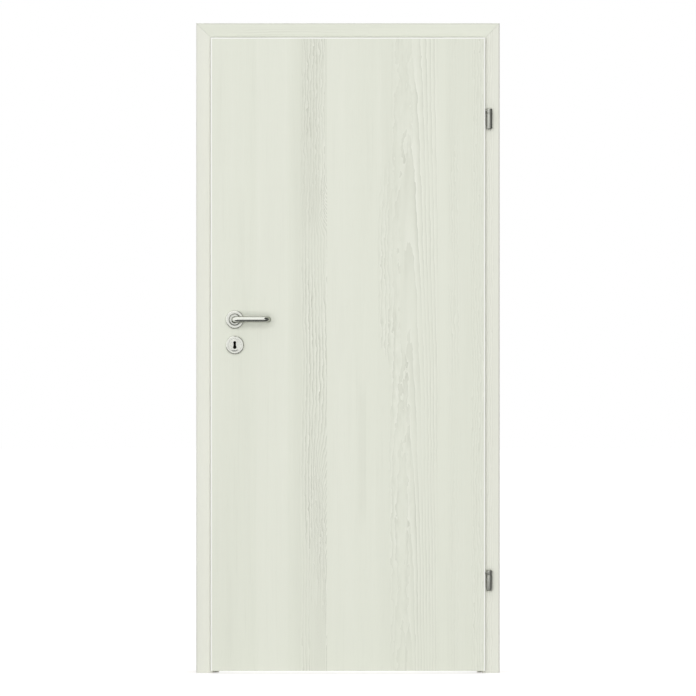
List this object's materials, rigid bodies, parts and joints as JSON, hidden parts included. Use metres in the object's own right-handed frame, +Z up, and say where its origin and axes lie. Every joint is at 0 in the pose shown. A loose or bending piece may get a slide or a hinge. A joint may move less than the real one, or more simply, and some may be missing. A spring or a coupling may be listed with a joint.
{
  "type": "interior door with casing frame",
  "caption": "Flush rebated interior door in a three-sided casing frame, hung on two barrel hinges, with a mortise lock, sprung lever handles and round roses.",
  "frame": {"origin": "centre of the hinge-side lining's foot, at floor level", "axes": "+Z up, +X towards the hinge side, +Y through the doorway away from the side that the leaf opens to"},
  "size_m": [0.952, 0.2573, 2.038],
  "materials": {
    "wood_decor": "white-cream wood decor, satin",
    "chipboard": "raw board",
    "seal_rubber": "soft grey seal",
    "plated_steel": "plated, satin",
    "handle_metal": "polished"
  },
  "bodies": {
    "frame": {"hinge_side_lining": "wood_decor", "lock_side_lining": "wood_decor", "head_lining": "wood_decor", "hinge_side_front_architrave": "wood_decor", "lock_side_front_architrave": "wood_decor", "head_front_architrave": "wood_decor", "hinge_side_rear_architrave": "wood_decor", "lock_side_rear_architrave": "wood_decor", "head_rear_architrave": "wood_decor", "hinge_side_seal": "seal_rubber", "lock_side_seal": "seal_rubber", "head_seal": "seal_rubber", "strike_plate": "plated_steel", "upper_hinge_frame_part": "handle_metal", "lower_hinge_frame_part": "handle_metal"},
    "leaf": {"front_skin": "wood_decor", "rear_skin": "wood_decor", "hinge_stile": "wood_decor", "lock_stile": "wood_decor", "top_rail": "wood_decor", "bottom_rail": "chipboard", "core_board": "chipboard", "lock_case": "plated_steel", "lock_forend": "plated_steel", "latch_bolt": "plated_steel", "dead_bolt": "plated_steel", "upper_hinge_leaf_part": "handle_metal", "lower_hinge_leaf_part": "handle_metal", "front_lever_rose": "handle_metal", "rear_lever_rose": "handle_metal", "front_key_rose": "handle_metal", "rear_key_rose": "handle_metal"},
    "lever_set": {"front_lever": "handle_metal", "rear_lever": "handle_metal", "spindle": "plated_steel"}
  },
  "joints": [
    {"name": "leaf_swing", "type": "hinge", "parent": "frame", "child": "leaf", "pos_m": [0.027, -0.10735, 1], "axis": [0, 0, 1], "range_deg": [0, 170]},
    {"name": "lever_turn", "type": "hinge", "parent": "leaf", "child": "lever_set", "pos_m": [-0.771, -0.0946, 1.108], "axis": [0, 1, 0], "range_deg": [0, 38], "stiffness_Nm_per_rad": 1.5, "springref_deg": -17.19}
  ]
}
